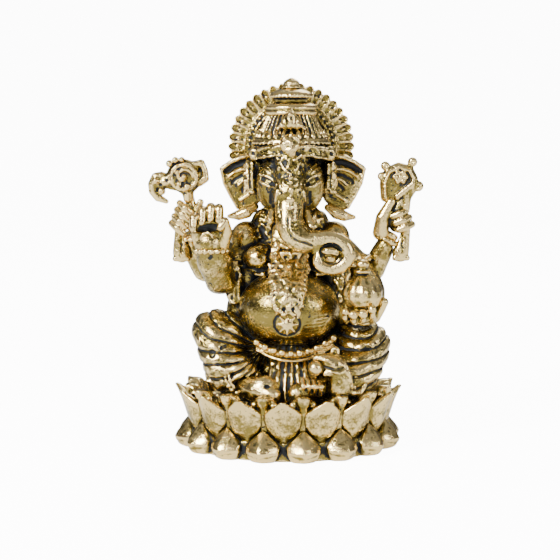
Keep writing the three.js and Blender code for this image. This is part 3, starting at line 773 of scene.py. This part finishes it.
def right_front_hand(clay):
    """A raised palm: curled finger tips over a dark hollow, and a ring mark under them."""
    clay.replace(clay.sdf + 0.9)
    clay.ball(clay.here((-15.8, -8.4, 43.9))[0], (3.5, 1.9, 3.9), 0.4)
    for x, top in ((-18.8, 47.4), (-17.1, 48.7), (-15.4, 49.3), (-13.8, 49.1)):
        finger = clay.here((x, -8.2, 45.4), (x, -8.6, top), (x + 0.1, -10.3, top - 0.2), (x, -10.9, top - 2.2))
        clay.rope(finger, [1.0, 0.95, 0.9, 0.7], 0.06)
    hollow = clay.here((-18.4, -10.2, 45.2), (-14.2, -10.2, 45.5))
    clay.groove(hollow, 0.9, 0.1)
    thumb = clay.here((-13.2, -8.6, 41.8), (-12.2, -9.4, 44.4), (-12.6, -10.4, 46.6), (-13.4, -10.8, 45.4))
    clay.rope(thumb, [1.5, 1.15, 0.9, 0.8], 0.2)
    ring = [(1.15 * math.cos(a) - 0.6, 1.15 * math.sin(a) - 2.3) for a in np.linspace(0, 2 * math.pi, 15)]
    clay.draw(ring, 0.24, lift=0.1)
    clay.stud(-0.6, -2.3, 0.5)


def grip(clay, near, far, step, count):
    """Fingers side by side round a handle, each from near over a bend to far, and a step on."""
    clay.replace(clay.sdf + 0.4)
    bend = [(a + b) / 2 for a, b in zip(near, far)]
    bend[1] -= 0.8
    for k in range(count):
        finger = [[p + k * s for p, s in zip(point, step)] for point in (near, bend, far)]
        clay.rope(clay.here(*finger), [0.72, 0.8, 0.72], 0.05)


def right_rear_hand(clay):
    """Four fingers round the axe's handle."""
    grip(clay, (-22.0, -0.8, 49.6), (-19.6, -1.6, 47.6), (-0.55, 0, -1.35), 4)
    clay.rope(clay.here((-20.3, -0.2, 51.8), (-19.4, -0.2, 47.4)), [0.95, 1.1], 0.1)
    clay.rope(clay.here((-19.2, -0.4, 46.4), (-17.8, -0.8, 49.8)), [0.9, 0.7], 0.2)


def left_rear_hand(clay):
    """Three fingers round the noose's handle, and a long thumb on its other side."""
    grip(clay, (21.2, -1.6, 47.0), (24.0, -0.8, 48.1), (0.6, 0, -1.4), 3)
    clay.rope(clay.here((18.9, -0.4, 43.6), (19.2, -0.9, 46.6), (20.9, -1.2, 49.9)), [1.7, 1.4, 0.95], 0.2)
    clay.rope(clay.here((23.4, -0.2, 50.8), (21.6, -0.2, 46.0)), [1.2, 1.5], 0.1)


def left_front_hand(clay):
    """Four round finger tips in a row under the sweet, and the thumb's at its side."""
    clay.replace(clay.sdf + 0.7)
    clay.ball(clay.here((14.2, -12.0, 27.9))[0], (3.0, 2.6, 1.5), 0.3)
    for x, z, size in ((11.1, 29.2, 0.75), (12.7, 28.6, 0.98), (14.6, 28.8, 1.0), (16.4, 29.7, 0.9)):
        back, knuckle, tip = clay.here((x + 0.3, -12.0, 27.2), (x, -14.8, z - 1.3), (x, -15.6, z))
        clay.rope([back, knuckle, tip], [0.9, 0.65, size - 0.25], 0.1)
        clay.ball(tip, size, 0.03)
    clay.rope(clay.here((17.2, -11.0, 27.6), (18.4, -11.8, 29.4), (18.9, -12.2, 30.6)), [1.2, 0.9, 0.85], 0.2)
    clay.ball(clay.here((18.9, -12.2, 30.7))[0], 0.95, 0.05)


def forearm(clay):
    """A full forearm that narrows to the wrist."""
    clay.rope(clay.here((-13.4, -4.4, 33.8), (-14.7, -6.2, 38.2), (-15.7, -7.8, 42.0)), [3.0, 3.6, 3.1], 0.6)
    _, _, z = clay.coordinates()
    clay.sdf = inside(clay.sdf, -z - clay.half[2] + 1.4, k=2.0)


def wrist_beads(clay, count, tilt=0.0, swell=0.0):
    """A bangle built up into a row of beads between two cords."""
    r = clay.half[0] - 0.55 + swell
    for k in range(count):
        a = 2 * math.pi * k / count
        x, y = r * math.cos(a), r * math.sin(a) * clay.half[1] / clay.half[0]
        clay.ball((x, y, -tilt * x), 0.62, 0.1)


def sweet(clay):
    """A steamed dumpling: a ribbed bulb under a collar and a knob."""
    turned(
        clay,
        [(-5.2, 0.8), (-4.8, 2.2), (-3.8, 3.4), (-2.3, 4.0), (-0.9, 3.95), (0.3, 3.4), (1.3, 2.4), (2.0, 1.5),
         (2.35, 1.05), (2.6, 1.6), (3.0, 1.75), (3.3, 1.0), (3.7, 1.0), (4.2, 1.4), (4.8, 1.2), (5.3, 0.2)],
    )
    x, y, z = clay.coordinates()
    wave = np.cos(11 * np.arctan2(x, -y))
    strength = np.clip((2.0 - z) / 1.0, 0, 1) * np.clip((z + 4.0) / 3.0, 0, 1)
    clay.sdf -= (0.11 * wave * strength).astype(np.float32)


def axe_head(clay):
    """An ornate axe: a round medallion, a crescent blade on its right and curls on its left."""
    clay.replace(clay.sdf + 0.8)
    clay.ball((1.3, 0.2, 1.0), (3.6, 1.5, 3.6), 0.3)
    ring = [(1.3 + 2.6 * math.cos(a), -1.05, 1.0 + 2.5 * math.sin(a)) for a in np.linspace(0, 2 * math.pi, 25)]
    clay.rope(ring, 0.42, 0.12)
    clay.ball((-1.0, 0, -3.9), (2.2, 3.0, 2.1), 0.3, carve=True)
    blade = [(-3.2, 0, 1.2), (-4.4, 0, 0.9), (-5.1, 0, -0.5), (-5.0, 0, -1.9), (-4.0, 0, -3.2), (-2.3, 0, -4.0)]
    clay.rope(blade, [0.9, 1.0, 0.95, 0.9, 0.85, 0.5], 0.2)
    clay.rope([(-1.2, 0, 0.6), (-3.6, 0, -0.4)], [1.5, 1.1], 0.3)
    clay.rope([(3.3, 0, 3.4), (4.8, 0, 3.8), (5.5, 0, 2.2), (5.6, 0, 0.6), (4.4, 0, 0.0)], [0.8, 0.75, 0.7, 0.8, 1.0], 0.15)
    for x, z, size in ((-1.6, 3.7, 0.75), (-0.4, 4.4, 0.7), (0.9, 4.5, 0.6), (-3.2, -1.9, 0.8), (-4.4, 0.2, 0.75)):
        clay.ball((x, -0.6, z), (size, 0.9, size), 0.1)
    for x, z in ((4.6, 2.4), (-3.4, -0.6), (-2.2, 0.4)):
        clay.stud(x, z, 0.4, carve=True)
    curl = [(1.3 + (1.9 - 0.25 * a) * math.cos(a), 1.1 + (1.8 - 0.25 * a) * math.sin(a)) for a in np.linspace(0, 6.5, 22)]
    clay.draw(curl, 0.36, lift=0.15)
    for x, z, size in ((-0.1, 2.0, 0.5), (1.3, 1.1, 0.55), (2.0, -1.0, 0.8), (0.3, -0.4, 0.6)):
        clay.stud(x, z, size, lift=0.1)
    clay.rope([(2.0, 0, -1.6), (2.2, 0.2, -3.4)], [1.2, 1.1], 0.2)


def noose(clay):
    """A noose of beaded cord, with a flower of beads in its loop and curls round it."""
    clay.replace(clay.sdf + 0.9)
    loop = [(-3.3, 0, -2.4), (-3.5, 0, 0.4), (-2.6, 0, 2.8), (-0.6, 0, 3.8), (1.5, 0, 3.2), (2.4, 0, 1.4), (2.0, 0, -0.8)]
    clay.ball((-0.6, 0.2, 0.2), (3.6, 1.1, 4.2), 0.3)
    clay.rope(loop, 0.95, 0.2)
    for a, b in zip(loop[:-1], loop[1:]):
        for t in (0.0, 0.25, 0.5, 0.75):
            x, z = a[0] + (b[0] - a[0]) * t, a[2] + (b[2] - a[2]) * t
            clay.stud(x, z, 0.36)
    for k in range(6):
        a = math.pi * k / 3
        clay.ball((-0.3 + 1.1 * math.cos(a), -0.9, 1.8 + 1.0 * math.sin(a)), 0.58, 0.05)
    clay.ball((-0.3, -1.0, 1.8), 0.5, 0.05)
    for k in range(6):
        clay.ball((-0.9 + 0.62 * k, -0.9, -2.2 + 0.52 * k), (0.5, 0.5, 0.72), 0.08)
    for x, z, size in ((-3.3, 4.0, 0.95), (-4.0, 1.9, 0.9), (2.2, 4.8, 1.0), (3.4, -0.1, 1.1)):
        clay.ball((x, 0, z), (size, 0.9, size), 0.2)
        clay.stud(x, z, 0.34, carve=True)
    clay.rope([(1.0, 0, -1.8), (0.9, 0, -4.6)], [1.0, 0.9], 0.2)


def ribbon_tail(clay):
    """The attribute's tail below the hand, flaring like the mouth of a horn."""
    clay.draw([(0, 3.5), (0.1, -2.5)], 0.25, carve=True)
    low = -clay.half[2] + 0.9
    clay.rope([(-1.3, -0.4, low), (1.2, -0.4, low)], 0.6, 0.2)


# ---- the mouse


def mouse(clay):
    """A mouse sitting up with a sweet in its paws."""
    clay.stud(-2.7, 3.1, 0.34, lift=0.1)
    clay.draw([(-4.9, 2.7), (-3.4, 2.5), (-2.4, 2.2)], 0.18, carve=True)
    clay.stud(-1.1, 4.4, 0.5, carve=True)
    clay.draw([(-3.2, 1.6), (-1.0, 1.2), (0.4, 1.6)], 0.26, carve=True)
    clay.draw([(-2.0, 0.7), (-0.2, 0.5), (1.0, 0.9)], 0.22)
    clay.draw([(0.8, 2.2), (1.8, -0.4), (2.2, -3.0)], 0.4, lift=0.1)
    ring = [(0.6 * math.cos(a) - 0.4, 0.6 * math.sin(a) - 1.2) for a in np.linspace(0, 2 * math.pi, 11)]
    clay.draw(ring, 0.16, carve=True)


def anklet(clay, turn):
    """The beaded hem of the wrap, round the ankle in the plane of its CAD ring."""
    clay.replace(clay.sdf + 0.25)
    tilt, swing = (math.radians(angle) for angle in turn)
    for k in range(20):
        a = 2 * math.pi * k / 20
        x, y = 3.6 * math.cos(a), 3.6 * math.sin(a)
        y, z = y * math.cos(tilt), y * math.sin(tilt)
        clay.ball((x * math.cos(swing) + z * math.sin(swing), y, z * math.cos(swing) - x * math.sin(swing)), 0.6, 0.1)


SCULPT.update(
    {
        "head": head,
        "trunk": trunk,
        "right_ear": lambda clay: ear(clay, -1),
        "left_ear": lambda clay: ear(clay, 1),
        "right_earring": lambda clay: earring(clay, -1),
        "left_earring": lambda clay: earring(clay, 1),
        "right_lappet": lambda clay: lappet(clay, -1),
        "left_lappet": lambda clay: lappet(clay, 1),
        "belly": belly,
        "torso": torso,
        "chest_cloth": chest_cloth,
        "navel_flower": navel_flower,
        "bead_belt": bead_belt,
        "pendant": pendant,
        "right_drape": lambda clay: drape(clay, -1),
        "left_drape": lambda clay: drape(clay, 1),
        "skirt_front": skirt_front,
        "right_leg": lambda clay: leg(clay, -1, (4.5, 21.0), fan_folds, (15.2, 12.6), 0.4),
        "left_leg": lambda clay: leg(clay, 1, (12.5, 31.0), ring_folds, (17.6, 13.0), 0.51),
        "right_anklet": lambda clay: anklet(clay, (50, 42)),
        "left_anklet": lambda clay: anklet(clay, (50, -50)),
        "right_foot": lambda clay: foot(clay, -1),
        "left_foot": lambda clay: foot(clay, 1),
        "right_front_hand": right_front_hand,
        "right_front_arm": forearm,
        "left_front_hand": left_front_hand,
        "right_rear_hand": right_rear_hand,
        "left_rear_hand": left_rear_hand,
        "right_front_bracelet": lambda clay: wrist_beads(clay, 16, swell=0.9),
        "right_rear_bracelet": lambda clay: wrist_beads(clay, 10),
        "left_rear_bracelet": lambda clay: wrist_beads(clay, 10, tilt=0.5),
        "right_armlet": lambda clay: wrist_beads(clay, 14, tilt=0.3),
        "left_armlet": lambda clay: wrist_beads(clay, 14, tilt=-0.4),
        "sweet": sweet,
        "axe_head": axe_head,
        "noose": noose,
        "axe_tail": ribbon_tail,
        "noose_tail": ribbon_tail,
        "mouse": mouse,
    }
)
# how far a piece is softened and grown before it is sculpted, where that isn't as usual
CLAY = {
    "belly": {"soften": 0.6, "grow": 0.1},
    "right_leg": {"soften": 1.1, "grow": 0.4},
    "left_leg": {"soften": 1.1, "grow": 0.4},
    "torso": {"soften": 1.0, "grow": 0.3, "margin": 3.6},
    "head": {"soften": 0.9, "grow": 0.3, "margin": 4.0},
    "trunk": {"soften": 0.5, "grow": 0.05},
    "forehead_jewel": {"margin": 2.6},
    "right_earring": {"margin": 3.4},
    "left_earring": {"margin": 3.4},
    "bead_belt": {"margin": 2.4},
    "right_front_hand": {"margin": 2.2},
    "right_front_bracelet": {"margin": 2.4},
    "right_front_arm": {"margin": 2.0},
    "right_rear_hand": {"margin": 3.0},
    "left_rear_hand": {"margin": 3.0},
    "left_front_hand": {"margin": 2.2},
    "sweet": {"margin": 1.8},
}


# ---- from clay to pieces

SLOTS = {part["node"]: part["material_slot"] for part in frame["record"]["subparts"]}
AIR = 0.5  # mm, the voxel of the coarse block that holds the whole figure
# how much more patina than usual is left on a piece
UNRUBBED = {
    "halo_leaves": 0.3, "halo_plate": 0.35, "headband": 0.18, "forehead_jewel": 0.15, "head": 0.12,
    "crown_cone": 0.12, "crown_lower_ring": 0.1, "crown_palmette": 0.1, "right_ear": 0.14, "left_ear": 0.14,
    "right_lappet": 0.2, "left_lappet": 0.2, "axe_head": 0.15, "noose": 0.15, "inner_petals": 0.05,
}


class Figure:
    """How much metal there is round each point, for painted shade between pieces and the patina that stays where
    nothing can rub.
    """

    def __init__(self, clays):
        low, high = (np.array(corner) * MM for corner in CAD_BOX)
        self.low = low - 4
        shape = tuple(np.ceil((high + 4 - self.low) / AIR).astype(int))
        metal = np.zeros(shape, np.float32)
        for clay in clays:
            inside = np.argwhere(clay.sdf < 0) * VOXEL + clay.low
            cells, counts = np.unique(
                ((inside - self.low) / AIR).astype(int), axis=0, return_counts=True
            )
            metal[tuple(cells.T)] += counts * (VOXEL / AIR) ** 3
        metal = np.minimum(metal, 1)
        self.near = blur(metal, 0.8, AIR)
        self.wide = blur(metal, 2.4, AIR)

    # painted shade, with patina: the metal just off the surface, near and wide
    def crowding(self, points, normals):
        near = sample(self.near, self.low, AIR, points + 0.7 * normals)
        wide = sample(self.wide, self.low, AIR, points + 2.0 * normals)
        return near, wide


def piece_of(clay, figure, material):
    """The clay's surface as a mesh object that stands for its CAD node."""
    grid = vdb.FloatGrid(float(BAND))
    ground = clay.low[2] + VOXEL * np.arange(clay.sdf.shape[2]).astype(np.float32)
    grid.copyFromArray(inside(clay.sdf, -ground + 0.05, k=0.1))
    points, quads = grid.convertToQuads(0.0)
    points = points * VOXEL + clay.low
    mesh = bpy.data.meshes.new(clay.node)
    mesh.from_pydata((points / MM).tolist(), [], quads.tolist())
    mesh.shade_smooth()
    piece = bpy.data.objects.new("cast_" + clay.node, mesh)
    bpy.context.scene.collection.objects.link(piece)
    normals = np.empty(3 * len(points), np.float32)
    mesh.vertex_normals.foreach_get("vector", normals)
    normals = normals.reshape(-1, 3)
    fine = blur(clay.sdf, 0.3, VOXEL) - clay.sdf
    broad = blur(clay.sdf, 0.9, VOXEL) - clay.sdf
    # painted shade between pieces, with patina: how much metal crowds each point
    near, wide = figure.crowding(points, normals)
    write(mesh, "fine_relief", sample(fine, clay.low, VOXEL, points) / 0.3)
    write(mesh, "broad_relief", sample(broad, clay.low, VOXEL, points) / 0.9)
    write(mesh, "near_shade_and_patina", near)
    write(mesh, "wide_shade_and_patina", wide + UNRUBBED.get(clay.node, 0.0))
    mesh.materials.append(material)
    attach(piece, "root")
    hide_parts(clay.node)
    return piece


def write(mesh, name, values):
    mesh.attributes.new(name, "FLOAT", "POINT").data.foreach_set("value", values.astype(np.float32))


# ---- metal


class Nodes:
    """A short way to lay out shader nodes: each method returns the new node's output."""

    def __init__(self, owner):
        owner.use_nodes = True
        self.tree = owner.node_tree
        self.tree.nodes.clear()

    def new(self, kind, inputs=(), **settings):
        node = self.tree.nodes.new(kind)
        for key, value in settings.items():
            setattr(node, key, value)
        for key, value in dict(inputs).items():
            if isinstance(value, bpy.types.NodeSocket):
                self.tree.links.new(value, node.inputs[key])
            else:
                node.inputs[key].default_value = value
        return node

    def attribute(self, name):
        return self.new("ShaderNodeAttribute", attribute_name=name).outputs["Fac"]

    def noise(self, size_mm, detail=3.0, rough=0.6):
        place = self.new("ShaderNodeTexCoord").outputs["Object"]
        inputs = {"Vector": place, "Scale": MM / size_mm, "Detail": detail, "Roughness": rough}
        return self.new("ShaderNodeTexNoise", inputs).outputs["Fac"]

    def math(self, operation, a, b, clamp=False):
        node = self.new("ShaderNodeMath", {0: a, 1: b}, operation=operation, use_clamp=clamp)
        return node.outputs[0]

    def ramp(self, value, low, high, to_low=0.0, to_high=1.0):
        inputs = {
            "Value": value, "From Min": low, "From Max": high, "To Min": to_low, "To Max": to_high
        }
        node = self.new("ShaderNodeMapRange", inputs, interpolation_type="SMOOTHSTEP")
        return node.outputs["Result"]

    def mix(self, factor, a, b):
        node = self.new("ShaderNodeMix", data_type="RGBA")
        for key, value in ((0, factor), (6, a), (7, b)):
            if isinstance(value, bpy.types.NodeSocket):
                self.tree.links.new(value, node.inputs[key])
            else:
                node.inputs[key].default_value = value
        return node.outputs[2]


BRIGHT = (0.88, 0.67, 0.28, 1)
GOLD = (0.24, 0.18, 0.042, 1)
# the black of the patina, also used for painted shade between pieces
PATINA_AND_SHADE = (0.012, 0.014, 0.016, 1)
WHITE = 12.0  # strength at which the background is shown as white


def brass(slot, rubbed):
    """Cast brass under black patina, with painted shade where other pieces crowd it. rubbed is how far the patina is
    polished off, 0 to 1.
    """
    material = bpy.data.materials.new(slot)
    n = Nodes(material)
    grit = n.noise(0.45, 4.0, 0.7)
    cloud = n.noise(2.2, 4.0, 0.65)
    fine = n.attribute("fine_relief")
    broad = n.attribute("broad_relief")
    near = n.attribute("near_shade_and_patina")
    wide = n.attribute("wide_shade_and_patina")
    # what can't be rubbed: patina in hollows of the relief; and painted shade, with patina, in places crowded by
    # other pieces
    hollow = n.math("MULTIPLY", fine, -2.2)
    hollow = n.math("ADD", hollow, n.math("MULTIPLY", broad, -1.1))
    hollow = n.math("ADD", hollow, n.math("MULTIPLY", n.math("SUBTRACT", near, 0.28), 1.5))
    hollow = n.math("ADD", hollow, n.math("MULTIPLY", n.math("SUBTRACT", wide, 0.30), 1.3))
    hollow = n.math("ADD", hollow, n.math("MULTIPLY", n.math("SUBTRACT", grit, 0.5), 1.6))
    # pits left by the casting, in patches
    pits = n.ramp(n.noise(0.75, 2.0, 0.5), 0.56, 0.66)
    patches = n.ramp(n.noise(5.0, 2.0, 0.5), 0.36, 0.56, 0.15, 1.5 - 1.0 * rubbed)
    pits = n.math("MULTIPLY", pits, patches)
    hollow = n.math("ADD", hollow, pits)
    # black: patina in hollows, and painted shade where other pieces crowd
    black = n.ramp(hollow, 0.0 + 0.2 * rubbed, 0.4 + 0.35 * rubbed)
    # dull gold by the same mask: tarnish, and painted shade between pieces
    tone = n.math("ADD", hollow, n.math("MULTIPLY", n.math("SUBTRACT", cloud, 0.5), 2.6))
    dull = n.ramp(tone, -1.5 + 0.6 * rubbed, -0.4 + 0.3 * rubbed)
    colour = n.mix(black, n.mix(dull, BRIGHT, GOLD), PATINA_AND_SHADE)
    rough = n.ramp(n.math("ADD", black, n.math("MULTIPLY", grit, 0.5)), 0.1, 1.4, 0.16, 0.5)
    relief = n.math("SUBTRACT", grit, n.math("MULTIPLY", pits, 0.8))
    bump = n.new("ShaderNodeBump", {"Height": relief, "Strength": 0.6, "Distance": 0.0001})
    inputs = {
        "Base Color": colour,
        "Metallic": n.ramp(black, 0.0, 1.0, 1.0, 0.6),
        "Roughness": rough,
        "Normal": bump.outputs["Normal"],
    }
    shader = n.new("ShaderNodeBsdfPrincipled", inputs)
    n.new("ShaderNodeOutputMaterial", {"Surface": shader.outputs["BSDF"]})
    return material


# ---- studio


def unseen_by_camera(nodes, seen, otherwise):
    """A value that is `seen` where the camera looks straight at it, and `otherwise` in reflections."""
    path = nodes.new("ShaderNodeLightPath").outputs["Is Camera Ray"]
    return nodes.ramp(path, 0.0, 1.0, otherwise, seen)


def floor():
    """A white floor, wide enough to reach the horizon."""
    mesh = bpy.data.meshes.new("floor")
    side = 3.0
    corners = [(-side, -side, 0), (side, -side, 0), (side, side, 0), (-side, side, 0)]
    mesh.from_pydata(corners, [], [(0, 1, 2, 3)])
    plane = bpy.data.objects.new("floor", mesh)
    bpy.context.scene.collection.objects.link(plane)
    material = bpy.data.materials.new("floor")
    n = Nodes(material)
    inputs = {
        "Base Color": (0.6, 0.6, 0.6, 1),
        "Roughness": 0.9,
        "Emission Color": (1, 1, 1, 1),
        "Emission Strength": unseen_by_camera(n, WHITE, 0.65),
    }
    shader = n.new("ShaderNodeBsdfPrincipled", inputs)
    n.new("ShaderNodeOutputMaterial", {"Surface": shader.outputs["BSDF"]})
    mesh.materials.append(material)
    plane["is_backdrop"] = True


def softbox(name, place, size, power):
    """A square of soft light that faces the figure's chest."""
    data = bpy.data.lights.new(name, "AREA")
    data.shape = "SQUARE"
    data.size = size
    data.energy = power
    lamp = bpy.data.objects.new(name, data)
    lamp.location = place
    towards = Vector((0, 0, 0.035)) - Vector(place)
    lamp.rotation_euler = towards.to_track_quat("-Z", "Y").to_euler()
    bpy.context.scene.collection.objects.link(lamp)


def studio():
    """White behind the figure, and round it a dim room with soft boxes, as polished metal needs."""
    floor()
    world = bpy.data.worlds.new("studio")
    bpy.context.scene.world = world
    n = Nodes(world)
    height = n.new("ShaderNodeSeparateXYZ", {0: n.new("ShaderNodeTexCoord").outputs["Generated"]})
    room = n.ramp(height.outputs["Z"], -0.1, 0.9, 0.03, 0.40)
    inputs = {"Color": (1, 1, 1, 1), "Strength": unseen_by_camera(n, WHITE, room)}
    light = n.new("ShaderNodeBackground", inputs)
    n.new("ShaderNodeOutputWorld", {"Surface": light.outputs["Background"]})
    softbox("key", (-0.30, -0.32, 0.30), 0.12, 5.5)
    softbox("fill", (0.36, -0.26, 0.16), 0.10, 0.7)
    softbox("front", (-0.06, -0.50, 0.20), 0.12, 0.35)
    softbox("rim", (0.10, 0.35, 0.32), 0.2, 0.8)


def camera():
    """The camera stands a little above the figure's middle and looks slightly down."""
    data = bpy.data.cameras.new("camera")
    data.sensor_width = 36
    data.lens = 113.8
    data.clip_start = 0.01
    eye = bpy.data.objects.new("camera", data)
    eye.location = (-0.00165, -0.36, 0.0722)
    eye.rotation_euler = (math.radians(90 - 6.087), 0, 0)
    bpy.context.scene.collection.objects.link(eye)
    bpy.context.scene.camera = eye


def main():
    metals = {
        "polished_brass": brass("polished_brass", 1.0),
        "antique_brass": brass("antique_brass", 0.5),
        "dark_brass": brass("dark_brass", 0.0),
    }
    clays = []
    for node in frame["nodes"]:
        clay = Clay(node, **CLAY.get(node, {}))
        if node in SCULPT:
            SCULPT[node](clay)
        clays.append(clay)
    figure = Figure(clays)
    for clay in clays:
        piece_of(clay, figure, metals[SLOTS[clay.node]])
    studio()
    camera()
    boxes = {"cad": CAD_BOX, "visual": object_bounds()}
    boxes = {name: [[float(v) for v in corner] for corner in box] for name, box in boxes.items()}


main()
